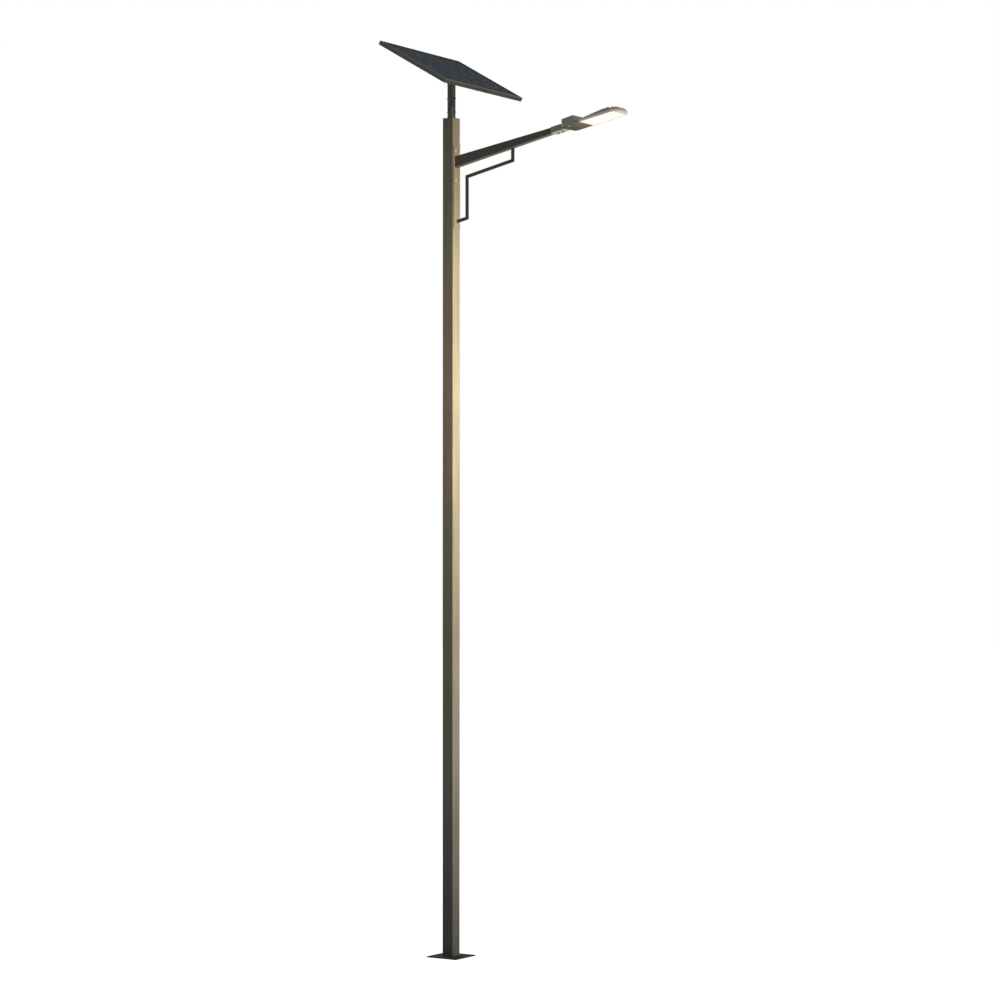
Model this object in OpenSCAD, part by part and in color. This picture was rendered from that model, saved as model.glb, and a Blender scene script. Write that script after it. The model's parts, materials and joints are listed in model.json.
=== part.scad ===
// Solar street lamp: a square steel pole on a base plate, with a tapered outreach arm that
// carries an LED lamp head, and a tilting solar panel on a short round mast above the pole.
// Origin: centre of the base plate's underside. +Z up, +X along the arm, +Y along the panel.

/* [Pole] */
// Height of the pole's top edge above the foundation
pole_top = 6000; // [4500:50:8000]
// Outer width of the square pole tube
pole_w = 90; // [90:1:110]
// Wall thickness of the pole tube
pole_wall = 4; // [3:0.5:5]
// Outer corner radius of the pole tube
pole_corner_r = 4; // [2:0.5:6]

/* [Base plate] */
// Side of the square base plate
base_w = 250; // [240:5:350]
// Thickness of the base plate
base_t = 8; // [8:1:20]
// Distance between neighbouring anchor bolt holes
anchor_spacing = 190; // [170:5:200]
// Diameter of the anchor bolt holes
anchor_d = 18; // [14:1:22]

/* [Mast] */
// Outer diameter of the round mast sleeve
mast_d = 60; // [60:1:64]
// Height of the sleeve's top above the pole
mast_h = 242; // [230:1:300]
// Height of the tilt pivot above the mast's head plate
pivot_rise = 40; // [40:1:50]
// Furthest that the panel tilts either way from its rest angle
tilt_travel = 30; // [10:1:30]

/* [Solar panel] */
// Length of the panel, across the arm
panel_len = 985; // [700:5:1200]
// Width of the panel, down its slope
panel_wid = 650; // [500:5:700]
// Depth of the aluminium frame
frame_t = 30; // [28:1:40]
// Angle between the panel and the ground at rest
panel_tilt = 30; // [20:1:40]
// Distance from the tilt pivot to the frame's back
panel_standoff = 30; // [29:1:40]
// How far the panel's middle sits up the slope from the pivot
panel_shift = 25; // [0:1:40]
// Number of cells along the panel's length
cells_long = 7; // [4:1:9]
// Number of cells down the slope
cells_wide = 5; // [3:1:6]

/* [Arm] */
// Drop from the pole's top to the centre of the arm's root
arm_drop = 316; // [280:1:400]
// Horizontal reach of the arm beyond its mounting plate
arm_reach = 812; // [700:1:1000]
// Rise of the arm's centre line from root to tip
arm_rise = 152.5; // [120:0.5:200]
// Depth of the arm at its root
arm_root_h = 78; // [70:1:90]
// Depth of the arm at its tip
arm_tip_h = 44.5; // [44:0.5:50]
// Width of the arm at its root
arm_root_w = 50; // [46:1:54]
// Height of the arm's mounting plate
arm_plate_h = 606; // [560:1:640]

/* [Brace] */
// Depth of the flat bar under the arm
brace_h = 24; // [18:1:28]
// Thickness of the flat bar
brace_t = 10; // [8:1:14]
// Distance from the mounting plate to the brace's lower upright
brace_x1 = 87; // [60:1:110]
// Distance from the mounting plate to the brace's upper upright
brace_x2 = 478; // [420:1:520]

/* [Lamp head] */
// Width of the lamp head
head_w = 200; // [200:1:220]
// Distance from the arm's tip to the front of the lamp head
head_front = 592; // [590:1:620]
// Clear length of the lamp's window
window_len = 270; // [250:1:270]
// Rows of light emitters along the window
led_rows = 8; // [4:1:8]
// Columns of light emitters across the window
led_cols = 5; // [3:1:5]

/* [Hidden] */
$fn = 48;

// Finishes
bronze = "#4a463d";
bronze_light = "#5a564b";
lamp_grey = "#6b6a64";
zinc = "#b9bcbd";
steel_bright = "#d0d2d2";
black_rubber = "#1d1d1e";
black_plastic = "#26272a";

// Gaps: eps keeps cuts clear of coplanar faces, run_gap is a running fit on a radius
eps = 1;
run_gap = 0.1;
pin_gap = 0.05;
face_gap = 0.3;

// Pole, mast and pivot heights
plate_t = 5;
pole_lid_t = 4;
spigot_r = mast_d / 2 - 4 - run_gap;
spigot_wall = 4;
spigot_up = 180;
spigot_down = 60;
set_bolt_z = [45, 142];
mast_bore_r = mast_d / 2 - 4;
mast_top = pole_top + mast_h;
head_plate_t = 6;
pivot_z = mast_top + head_plate_t + pivot_rise;
lock_r = 26;

// Mast head: cheeks of the saddle run just inside the ears
ear_in = 18;
ear_t = 6;
cheek_t = 5.6;
pivot_d = 12;
lock_d = 8;

// Arm: root on the plate's outer face, lamp head in line with the arm's centre line
plate_x = pole_w / 2;
arm_x0 = plate_x + plate_t;
arm_x1 = arm_x0 + arm_reach;
arm_z0 = pole_top - arm_drop;
arm_z1 = arm_z0 + arm_rise;
arm_wall = 2.5;
arm_tip_w = arm_tip_h;
arm_pitch = atan2(arm_rise, arm_reach);
plate_w = pole_w - 10;
plate_top_z = pole_top - 188;
bolt_rows = [-134, 79];
bolt_y = 24.5;
wire_hole_d = 26;
tip_plate_t = 3;
tip_spigot_r = 19;
tip_spigot_out = 92;
cable_r = 4.5;

// Panel: the laminate sits in the frame's groove
lip_w = 12;
lip_t = 1.4;
flange_w = 28;
wall_t = 1.8;
glass_t = 3.2;
laminate_top = frame_t - lip_t - 0.1;
glass_low = laminate_top - glass_t;
ribbon_t = 0.2;
cell_t = 0.4;
sheet_t = 0.7;
cell_margin = 24;
cell_gap = 2.5;
cell_cut = 9;
pitch_long = (panel_len - 2 * cell_margin) / cells_long;
pitch_wide = (panel_wid - 2 * cell_margin) / cells_wide;
shelf_top = glass_low - ribbon_t - cell_t - sheet_t;
rail_y = 60;
rail_w = 40;
rail_h = 18;
saddle_t = 5;
saddle_bolt_x = 40;
rail_hole_r = 4.2;
box_slope_x = -250;

// Lamp head: distances along the arm's line from its tip, heights above that line
fitter_start = 4;
fitter_w = 64;
housing_start = 130;
housing_end = 278;
box_start = 139;
box_end = 239;
low_roof = -3;
box_roof = 35;
rim = -22;
cast_wall = 3;
sink_start = 279;
sink_base_top = -8;
sink_low = -20.5;
bezel_low = -24.5;
cavity_top = -14;
board_t = 1.6;
board_low = cavity_top - board_t;
board_rim = [16, 14];
chip = [3.5, 3.5, 0.8];
window_start = 284;
window_w = head_w - 12;
fin_pitch = 27;
fin_t = 5;
fin_crest = 15;
nose_len = 35;
nose_cut = [38, 12];
nose_flat = 62;
hinge_y = head_w / 2 - 7;
hinge_w = -21;
knuckle_r = 3.7;
hinge_pin_r = 1.5;
hinge_u = [165, 245];
hinge_hole_r = hinge_pin_r + 0.01;
latch_u = 190;
latch_y = -head_w / 2 + 14;
cover_low = hinge_w - knuckle_r;
cover_top = rim - face_gap;

// ---------------------------------------------------------------- helpers

function hex_r(across_flats) = across_flats / (2 * cos(30));
function mix_at(x, x0, x1, a, b) = a + (b - a) * (x - x0) / (x1 - x0);

// Square with true round corners
module round_square(w, r) {
    square([w - 2 * r, w], center = true);
    square([w, w - 2 * r], center = true);
    for (sx = [-1, 1], sy = [-1, 1])
        translate([sx * (w / 2 - r), sy * (w / 2 - r)]) circle(r);
}

// Rectangle with cut corners
module cut_rect(a, b, cut) {
    polygon([
        [-a / 2 + cut, -b / 2], [a / 2 - cut, -b / 2], [a / 2, -b / 2 + cut], [a / 2, b / 2 - cut],
        [a / 2 - cut, b / 2], [-a / 2 + cut, b / 2], [-a / 2, b / 2 - cut], [-a / 2, -b / 2 + cut]
    ]);
}

module tube(r_out, r_in, h) {
    difference() {
        cylinder(r = r_out, h = h);
        translate([0, 0, -eps]) cylinder(r = r_in, h = h + 2 * eps);
    }
}

// Side view given in the XZ plane, drawn out along Y about the middle
module side_extrude(w) {
    rotate([90, 0, 0]) linear_extrude(height = w, center = true) children();
}

// Hexagon-headed bolt: head above z = 0, shank below it
module hex_bolt(d, length, across_flats, head_h) {
    cylinder(r = hex_r(across_flats), h = head_h, $fn = 6);
    translate([0, 0, -length]) cylinder(d = d, h = length + head_h / 2);
}

// Nut standing on z = 0
module hex_nut(d, across_flats, h) {
    difference() {
        cylinder(r = hex_r(across_flats), h = h, $fn = 6);
        translate([0, 0, -eps]) cylinder(d = d, h = h + 2 * eps);
    }
}

// Cap screw with a socket: head above z = 0, shank below it
module cap_screw(d, length, head_h) {
    difference() {
        cylinder(d = d * 1.7, h = head_h);
        translate([0, 0, head_h * 0.45]) cylinder(d = d * 0.9, h = head_h, $fn = 6);
    }
    translate([0, 0, -length]) cylinder(d = d, h = length + head_h * 0.3);
}

// Panel's own frame: x down the slope, y along the panel, z out of the frame's back
module on_panel() {
    translate([0, 0, pivot_z]) rotate([0, panel_tilt, 0])
        translate([-panel_shift, 0, panel_standoff]) children();
}

// Tilt pivot's frame at rest: x down the slope, z towards the panel
module at_pivot() {
    translate([0, 0, pivot_z]) rotate([0, panel_tilt, 0]) children();
}

// Lamp head's frame: x along the arm's line from its tip, z up from that line
module on_lamp() {
    translate([arm_x1, 0, arm_z1]) rotate([0, -arm_pitch, 0]) children();
}

// ---------------------------------------------------------------- pole

module base_plate() {
    drain_d = 50;
    color(bronze) difference() {
        translate([-base_w / 2, -base_w / 2, 0]) cube([base_w, base_w, base_t]);
        translate([0, 0, -eps]) cylinder(d = drain_d, h = base_t + 2 * eps);
        for (sx = [-1, 1], sy = [-1, 1])
            translate([sx * anchor_spacing / 2, sy * anchor_spacing / 2, -eps])
                cylinder(d = anchor_d, h = base_t + 2 * eps);
    }
}

module pole_shaft() {
    h = pole_top - pole_lid_t - base_t;
    nut_hole_d = 13;
    color(bronze) difference() {
        translate([0, 0, base_t]) linear_extrude(height = h) difference() {
            round_square(pole_w, pole_corner_r);
            round_square(pole_w - 2 * pole_wall, max(pole_corner_r - pole_wall, 0.5));
        }
        for (dz = bolt_rows, sy = [-1, 1])
            translate([pole_w / 2 - pole_wall - eps, sy * bolt_y, arm_z0 + dz]) rotate([0, 90, 0])
                cylinder(d = nut_hole_d, h = pole_wall + 2 * eps);
        translate([pole_w / 2 - pole_wall - eps, 0, arm_z0]) rotate([0, 90, 0])
            cylinder(d = wire_hole_d, h = pole_wall + 2 * eps);
    }
}

module pole_top_plate() {
    color(bronze) translate([0, 0, pole_top - pole_lid_t]) linear_extrude(height = pole_lid_t) difference() {
        round_square(pole_w, pole_corner_r);
        circle(spigot_r + pin_gap);
    }
}

module mast_spigot() {
    color(zinc) translate([0, 0, pole_top - spigot_down])
        tube(spigot_r, spigot_r - spigot_wall, spigot_up + spigot_down);
}

// Plate inside the tube that carries the foot of the spigot
module spigot_guide() {
    t = 5;
    color(bronze) translate([0, 0, pole_top - spigot_down - t]) linear_extrude(height = t) difference() {
        square(pole_w - 2 * pole_wall - 0.4, center = true);
        circle(spigot_r - spigot_wall);
    }
}

// ---------------------------------------------------------------- arm

module arm_plate() {
    bolt_hole_d = 11;
    color(bronze) difference() {
        translate([plate_x, -plate_w / 2, plate_top_z - arm_plate_h]) cube([plate_t, plate_w, arm_plate_h]);
        for (dz = bolt_rows, sy = [-1, 1])
            translate([plate_x - eps, sy * bolt_y, arm_z0 + dz]) rotate([0, 90, 0])
                cylinder(d = bolt_hole_d, h = plate_t + 2 * eps);
        translate([plate_x - eps, 0, arm_z0]) rotate([0, 90, 0])
            cylinder(d = wire_hole_d, h = plate_t + 2 * eps);
    }
}

// Copies a fastener to the four bolt places, pointing along +X from a given distance
module at_plate_bolts(x) {
    for (dz = bolt_rows, sy = [-1, 1])
        translate([x, sy * bolt_y, arm_z0 + dz]) rotate([0, 90, 0]) children();
}

washer_t = 1.6;

module arm_plate_bolts() {
    color(steel_bright) at_plate_bolts(arm_x0 + washer_t) hex_bolt(10, 28, 16, 6.4);
}

module arm_plate_washers() {
    color(steel_bright) at_plate_bolts(arm_x0) tube(9, 5.1, washer_t);
}

// Blind nuts set in the pole's wall behind the plate
module arm_rivet_nuts() {
    nut_len = 18;
    color(zinc) at_plate_bolts(plate_x - nut_len) tube(6.4, 5.05, nut_len - 0.1);
}

// Tapered box about the arm's centre line; inset shrinks it, reach_over lengthens both ends
module arm_solid(inset, reach_over) {
    xa = arm_x0 - reach_over;
    xb = arm_x1 + reach_over;
    za = mix_at(xa, arm_x0, arm_x1, arm_z0, arm_z1);
    zb = mix_at(xb, arm_x0, arm_x1, arm_z0, arm_z1);
    ha = mix_at(xa, arm_x0, arm_x1, arm_root_h, arm_tip_h) / 2 - inset;
    hb = mix_at(xb, arm_x0, arm_x1, arm_root_h, arm_tip_h) / 2 - inset;
    wa = mix_at(xa, arm_x0, arm_x1, arm_root_w, arm_tip_w) / 2 - inset;
    wb = mix_at(xb, arm_x0, arm_x1, arm_root_w, arm_tip_w) / 2 - inset;
    intersection() {
        side_extrude(2 * arm_root_w) polygon([[xa, za - ha], [xb, zb - hb], [xb, zb + hb], [xa, za + ha]]);
        linear_extrude(height = 2 * pole_top) polygon([[xa, -wa], [xb, -wb], [xb, wb], [xa, wa]]);
    }
}

// Everything beyond the arm's tip, square to its centre line
module beyond_tip() {
    on_lamp() translate([0, -100, -100]) cube([200, 200, 200]);
}

module arm_beam() {
    color(bronze) difference() {
        arm_solid(0, 0);
        arm_solid(arm_wall, 20);
        beyond_tip();
    }
}

module arm_tip_plate() {
    color(bronze) on_lamp() rotate([0, 90, 0]) linear_extrude(height = tip_plate_t) difference() {
        square(arm_tip_h - 0.5, center = true);
        circle(tip_spigot_r + pin_gap);
    }
}

module arm_spigot() {
    inside = 60;
    color(zinc) on_lamp() translate([-inside, 0, 0]) rotate([0, 90, 0])
        tube(tip_spigot_r, tip_spigot_r - 3, inside + tip_spigot_out);
}

// Outline of a bar that follows a run of points, with mitred corners
function unit(v) = v / norm(v);
function turn_left(v) = [-v[1], v[0]];
function corner_offset(p, i, half) =
    i == 0 ? turn_left(unit(p[1] - p[0])) * half
    : i == len(p) - 1 ? turn_left(unit(p[i] - p[i - 1])) * half
    : let (a = turn_left(unit(p[i] - p[i - 1])), b = turn_left(unit(p[i + 1] - p[i])))
        (a + b) * half / (1 + a * b);
function bar_outline(p, half) = concat(
    [for (i = [0 : len(p) - 1]) p[i] + corner_offset(p, i, half)],
    [for (i = [len(p) - 1 : -1 : 0]) p[i] - corner_offset(p, i, half)]
);

// Stepped brace: short foot, upright, run beside the arm, and an upright to its underside
module arm_brace() {
    foot_z = arm_z0 - 428;
    upright = 297;
    run_slope = tan(12.3);
    x1 = arm_x0 + brace_x1;
    x2 = arm_x0 + brace_x2;
    z1 = foot_z + brace_x1 * run_slope;
    z2 = z1 + upright;
    z3 = z2 + (x2 - x1) * run_slope;
    path = [[arm_x0 - 20, foot_z - 20 * run_slope], [x1, z1], [x1, z2], [x2, z3], [x2, z3 + 120]];
    color(bronze) difference() {
        side_extrude(brace_t) polygon(bar_outline(path, brace_h / 2));
        arm_solid(0, 10);
        translate([arm_x0 - 100, -50, foot_z - 100]) cube([100, 100, 200]);
        translate([x2 - 50, -50, mix_at(x2, arm_x0, arm_x1, arm_z0, arm_z1)]) cube([100, 100, 100]);
    }
}

// Lead from the mast down to a splice box at the arm's root, and along the arm to the lamp head
module arm_cable() {
    splice = [34, 22, 46];
    corner_z = arm_z1 - arm_x1 * tan(arm_pitch);
    cable_top = pole_top + spigot_up - 20;
    run = arm_x1 / cos(arm_pitch) + tip_spigot_out;
    color(black_rubber) {
        translate([0, 0, corner_z]) cylinder(r = cable_r, h = cable_top - corner_z);
        translate([0, 0, corner_z]) rotate([0, 90 - arm_pitch, 0]) cylinder(r = cable_r, h = run);
        translate([-splice[0] / 2, -splice[1] / 2, corner_z - splice[2] / 2]) cube(splice);
    }
}

// Rubber bush in the wire hole behind the arm's root
module cable_grommet() {
    color(black_rubber) translate([plate_x - pole_wall, 0, arm_z0]) rotate([0, 90, 0])
        tube(12.9, 8, pole_wall + plate_t);
}

// ---------------------------------------------------------------- mast, turned on the spigot

module at_set_bolts() {
    for (z = set_bolt_z, a = [0 : 90 : 270])
        translate([0, 0, pole_top + z]) rotate([0, 0, a]) rotate([0, 90, 0]) children();
}

module mast_sleeve() {
    color(bronze_light) difference() {
        translate([0, 0, pole_top + 0.5]) tube(mast_d / 2, mast_bore_r, mast_h - 0.5);
        at_set_bolts() cylinder(r = 4.1, h = mast_d);
    }
}

module mast_set_bolts() {
    head_h = 5.3;
    tip = mast_bore_r + 0.2;
    color(bronze_light) at_set_bolts() translate([0, 0, mast_d / 2])
        hex_bolt(8, mast_d / 2 - tip, 13, head_h);
}

module mast_head_plate() {
    color(bronze_light) translate([0, 0, mast_top]) linear_extrude(height = head_plate_t) difference() {
        circle(d = mast_d);
        circle(d = mast_d / 2);
    }
}

// Arc slot about the pivot, as wide as the lock bolt needs, over the whole tilt travel
module lock_slot(half_w) {
    rotate([0, 0, -90 - tilt_travel]) {
        rotate_extrude(angle = 2 * tilt_travel) translate([lock_r - half_w, 0]) square([2 * half_w, 20]);
        for (a = [0, 2 * tilt_travel])
            rotate([0, 0, a]) translate([lock_r, 0, 0]) cylinder(r = half_w, h = 20);
    }
}

module mast_ears() {
    foot = 17;
    belly = 23;
    crown_r = 16;
    color(bronze_light) for (s = [-1, 1])
        translate([0, s * (ear_in + ear_t / 2), pivot_z]) rotate([90, 0, 0]) translate([0, 0, -ear_t / 2])
            difference() {
                linear_extrude(height = ear_t) {
                    polygon([[-foot, -pivot_rise], [foot, -pivot_rise], [belly, -lock_r - 6],
                        [belly, -lock_r + 8], [crown_r, 0], [-crown_r, 0],
                        [-belly, -lock_r + 8], [-belly, -lock_r - 6]]);
                    circle(crown_r);
                }
                translate([0, 0, -eps]) cylinder(r = pivot_d / 2 + pin_gap, h = ear_t + 2 * eps);
                translate([0, 0, -eps]) lock_slot(lock_d / 2 + 0.5);
            }
}

// Bolt head outside the near ear, thread end through the far one
module tilt_pivot_bolt() {
    out = ear_in + ear_t;
    color(steel_bright) translate([0, -out, pivot_z]) rotate([90, 0, 0])
        hex_bolt(pivot_d, 2 * out + 14, 19, 7.5);
}

module tilt_pivot_nut() {
    color(steel_bright) translate([0, ear_in + ear_t, pivot_z]) rotate([-90, 0, 0])
        hex_nut(pivot_d + 0.1, 19, 10);
}

// ---------------------------------------------------------------- panel, tilted on the mast

// Section of the frame: s runs inwards from the outer face, h up from the back
module frame_section() {
    square([wall_t, frame_t]);
    square([flange_w, wall_t]);
    translate([0, frame_t - lip_t]) square([lip_w, lip_t]);
    translate([0, shelf_top - lip_t]) square([lip_w - 1, lip_t]);
}

// One rail of a given length with both ends mitred, its outer face at x = 0, inwards along +X
module frame_rail(length) {
    intersection() {
        rotate([90, 0, 0]) linear_extrude(height = length, center = true) frame_section();
        linear_extrude(height = frame_t) polygon([[0, -length / 2], [length / 4, -length / 4],
            [length / 4, length / 4], [0, length / 2]]);
    }
}

module frame_long_rails() {
    color(bronze) on_panel() difference() {
        for (a = [0, 180]) rotate([0, 0, a]) translate([-panel_wid / 2, 0, 0]) frame_rail(panel_len);
        for (x = [rail_bolt_x()[0], rail_bolt_x()[3]], s = [-1, 1])
            translate([x, s * rail_y, -eps]) cylinder(r = rail_hole_r, h = wall_t + 2 * eps);
    }
}

module frame_short_rails() {
    color(bronze) on_panel() for (a = [90, 270])
        rotate([0, 0, a]) translate([-panel_len / 2, 0, 0]) frame_rail(panel_wid);
}

// Angle keys inside the four hollow corners
module frame_corner_keys() {
    leg = 40;
    t = 4;
    color(zinc) on_panel() for (sx = [-1, 1], sy = [-1, 1])
        translate([sx * (panel_wid / 2 - wall_t), sy * (panel_len / 2 - wall_t), wall_t])
            mirror([sx > 0 ? 1 : 0, 0, 0]) mirror([0, sy > 0 ? 1 : 0, 0]) {
                cube([leg, t, rail_h - 2]);
                cube([t, leg, rail_h - 2]);
            }
}

module panel_sheet(inset, low, t) {
    a = panel_wid - 2 * inset;
    b = panel_len - 2 * inset;
    translate([-a / 2, -b / 2, low]) cube([a, b, t]);
}

module panel_glass() {
    color("#27304a", 0.6) on_panel() panel_sheet(wall_t + 0.4, glass_low, glass_t);
}

module backsheet() {
    color("#15161a") on_panel() panel_sheet(wall_t + 0.4, shelf_top, sheet_t);
}

module solar_cells() {
    color("#1c2740") on_panel() for (i = [0 : cells_wide - 1], j = [0 : cells_long - 1])
        translate([(i - (cells_wide - 1) / 2) * pitch_wide, (j - (cells_long - 1) / 2) * pitch_long,
            shelf_top + sheet_t])
            linear_extrude(height = cell_t) cut_rect(pitch_wide - cell_gap, pitch_long - cell_gap, cell_cut);
}

module cell_ribbons() {
    run = cells_wide * pitch_wide - 8;
    ribbon_w = 1.6;
    per_cell = 3;
    color(steel_bright) on_panel() for (j = [0 : cells_long - 1], k = [-1 : per_cell - 2])
        let (y = (j - (cells_long - 1) / 2 + k / per_cell) * pitch_long)
            translate([-run / 2, y - ribbon_w / 2, glass_low - ribbon_t]) cube([run, ribbon_w, ribbon_t]);
}

box_size = [100, 66, 15];

module junction_box() {
    size = box_size;
    wall = 2.5;
    gland_len = 16;
    color(black_plastic) on_panel() translate([box_slope_x, 0, shelf_top]) {
        difference() {
            translate([-size[0] / 2, -size[1] / 2, -size[2]]) cube(size);
            translate([-size[0] / 2 + wall, -size[1] / 2 + wall, -size[2] - eps])
                cube([size[0] - 2 * wall, size[1] - 2 * wall, size[2] - wall + eps]);
        }
        for (s = [-1, 1])
            translate([size[0] / 2, s * 16, -size[2] / 2]) rotate([0, 90, 0]) tube(6, 3, gland_len);
    }
}

module junction_box_lid() {
    t = 2;
    color(black_plastic) on_panel() translate([box_slope_x, 0, shelf_top - box_size[2] - t])
        linear_extrude(height = t) cut_rect(box_size[0], box_size[1], 3);
}

module bypass_diodes() {
    color("#101011") on_panel() for (k = [-1 : 1])
        translate([box_slope_x, k * 18, shelf_top - 6]) rotate([0, 90, 0])
            cylinder(r = 2.7, h = 9.5, center = true);
}

// Open channels across the frame's back, carried on the long rails' flanges
module cross_rails() {
    run = panel_wid - 2 * wall_t - 1;
    t = 2;
    color(zinc) on_panel() for (s = [-1, 1])
        translate([-run / 2, s * rail_y - rail_w / 2, wall_t]) difference() {
            cube([run, rail_w, rail_h]);
            translate([-eps, t, t]) cube([run + 2 * eps, rail_w - 2 * t, rail_h]);
            for (x = rail_bolt_x()) translate([x + run / 2, rail_w / 2, -eps])
                cylinder(r = rail_hole_r, h = t + 2 * eps);
        }
}

// Bolt places along a cross rail: two in the frame's flanges, two in the saddle
function rail_bolt_x() = let (edge = panel_wid / 2 - 18)
    [-edge, panel_shift - saddle_bolt_x, panel_shift + saddle_bolt_x, edge];
function is_saddle_bolt(i) = i == 1 || i == 2;

module at_rail_bolts() {
    for (i = [0 : 3], s = [-1, 1])
        translate([rail_bolt_x()[i], s * rail_y, is_saddle_bolt(i) ? wall_t - saddle_t : 0]) children();
}

module rail_bolts() {
    color(steel_bright) on_panel() at_rail_bolts() rotate([180, 0, 0]) hex_bolt(8, 18, 13, 5.3);
}

module rail_nuts() {
    color(steel_bright) on_panel() for (x = rail_bolt_x(), s = [-1, 1])
        translate([x, s * rail_y, wall_t + 2]) hex_nut(8.1, 13, 6.5);
}

// Saddle: top plate under the rails, with a cheek on each side of the pivot
module tilt_saddle() {
    plate_len = 110;
    plate_wid = 2 * rail_y + rail_w;
    plate_low = panel_standoff + wall_t - saddle_t;
    cheek_y = ear_in - 0.4 - cheek_t;
    lock_x = lock_r * sin(panel_tilt);
    lock_z = -lock_r * cos(panel_tilt);
    pivot_boss_r = 15;
    lock_boss_r = 11;
    color(bronze_light) at_pivot() {
        difference() {
            translate([-plate_len / 2, -plate_wid / 2, plate_low]) cube([plate_len, plate_wid, saddle_t]);
            for (sx = [-1, 1], sy = [-1, 1])
                translate([sx * saddle_bolt_x, sy * rail_y, plate_low - eps])
                    cylinder(r = rail_hole_r, h = saddle_t + 2 * eps);
            translate([0, 0, plate_low - eps]) cylinder(r = cheek_y - 2, h = saddle_t + 2 * eps);
        }
        for (s = [0, 1]) mirror([0, s, 0])
            translate([0, cheek_y + cheek_t, 0]) rotate([90, 0, 0]) difference() {
                linear_extrude(height = cheek_t) {
                    polygon([[-saddle_bolt_x, plate_low], [-pivot_boss_r, -6], [lock_x - lock_boss_r, lock_z],
                        [lock_x + lock_boss_r, lock_z], [pivot_boss_r, -6], [saddle_bolt_x, plate_low]]);
                    circle(pivot_boss_r);
                    translate([lock_x, lock_z]) circle(lock_boss_r);
                }
                translate([0, 0, -eps]) cylinder(r = pivot_d / 2 + pin_gap, h = cheek_t + 2 * eps);
                translate([lock_x, lock_z, -eps]) cylinder(r = lock_d / 2 + pin_gap, h = cheek_t + 2 * eps);
            }
    }
}

// Tube on the pivot bolt that keeps the cheeks apart
module pivot_spacer() {
    half = ear_in - 0.4 - cheek_t;
    color(zinc) translate([0, half, pivot_z]) rotate([90, 0, 0]) tube(10, pivot_d / 2 + run_gap, 2 * half);
}

module tilt_lock_bolt() {
    out = ear_in + ear_t + face_gap + 0.1;
    color(steel_bright) translate([0, -out, pivot_z - lock_r]) rotate([90, 0, 0])
        hex_bolt(lock_d, 2 * out + 10, 13, 5.3);
}

module tilt_lock_nut() {
    color(steel_bright) translate([0, ear_in + ear_t + face_gap + 0.1, pivot_z - lock_r]) rotate([-90, 0, 0])
        hex_nut(lock_d + 0.1, 13, 6.5);
}

// ---------------------------------------------------------------- lamp head, clamped on the spigot

clamp_u = [47, 84];
fitter_low = -26;
fitter_high = 26;

// Socket for the arm's spigot, with a flange on the gear housing's back wall
module slip_fitter() {
    bore_end = tip_spigot_out + 4;
    flange_t = 6;
    chamfer = 8;
    length = housing_start - fitter_start;
    color(lamp_grey) on_lamp() difference() {
        union() {
            translate([fitter_start, 0, 0]) rotate([90, 0, 90]) linear_extrude(height = length)
                translate([0, (fitter_low + fitter_high) / 2])
                    cut_rect(fitter_w, fitter_high - fitter_low, chamfer);
            translate([housing_start - flange_t, -46, -20]) cube([flange_t, 92, 42]);
            for (u = clamp_u) translate([u, 0, fitter_low - 3]) cylinder(r = 9, h = 8);
        }
        translate([fitter_start - eps, 0, 0]) rotate([0, 90, 0])
            cylinder(r = tip_spigot_r + pin_gap, h = bore_end - fitter_start + eps);
        translate([fitter_start, 0, 0]) rotate([0, 90, 0]) cylinder(r = 12, h = length + eps);
        for (u = clamp_u) translate([u, 0, fitter_low - 4]) cylinder(r = 4.1, h = 20);
        at_flange_screws() translate([0, 0, -flange_t - eps]) cylinder(r = 3.1, h = flange_t + 2 * eps);
    }
}

// Places of the flange screws, pointing back towards the arm, on the flange's rear face
module at_flange_screws() {
    for (sy = [-1, 1], w = [-11, 14])
        translate([housing_start - 6, sy * 38, w]) rotate([0, -90, 0]) children();
}

module fitter_clamp_screws() {
    tip = -tip_spigot_r - face_gap;
    color(steel_bright) on_lamp() for (u = clamp_u)
        translate([u, 0, fitter_low - 3]) rotate([180, 0, 0]) hex_bolt(8, tip - fitter_low + 3, 13, 5.3);
}

module fitter_flange_screws() {
    color(steel_bright) on_lamp() at_flange_screws() cap_screw(6, 12, 5);
}

// Plan of the gear housing: square front, cut rear corners
module housing_plan(inset) {
    half = head_w / 2 - inset;
    cut = 14;
    polygon([[housing_start + inset, -half + cut], [housing_start + cut + inset, -half],
        [housing_end - inset, -half], [housing_end - inset, half],
        [housing_start + cut + inset, half], [housing_start + inset, half - cut]]);
}

// Side view of the gear housing: raised box at the back, low roof at the front
module housing_side(inset, low) {
    lean = 8;
    polygon([[housing_start + inset, low], [housing_start + inset, low_roof],
        [box_start + inset, box_roof - 2 - inset], [box_end - inset, box_roof + 2 - inset],
        [box_end + lean / 2 - inset, low_roof - inset], [housing_end - inset, low_roof - inset],
        [housing_end - inset, low]]);
}

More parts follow.
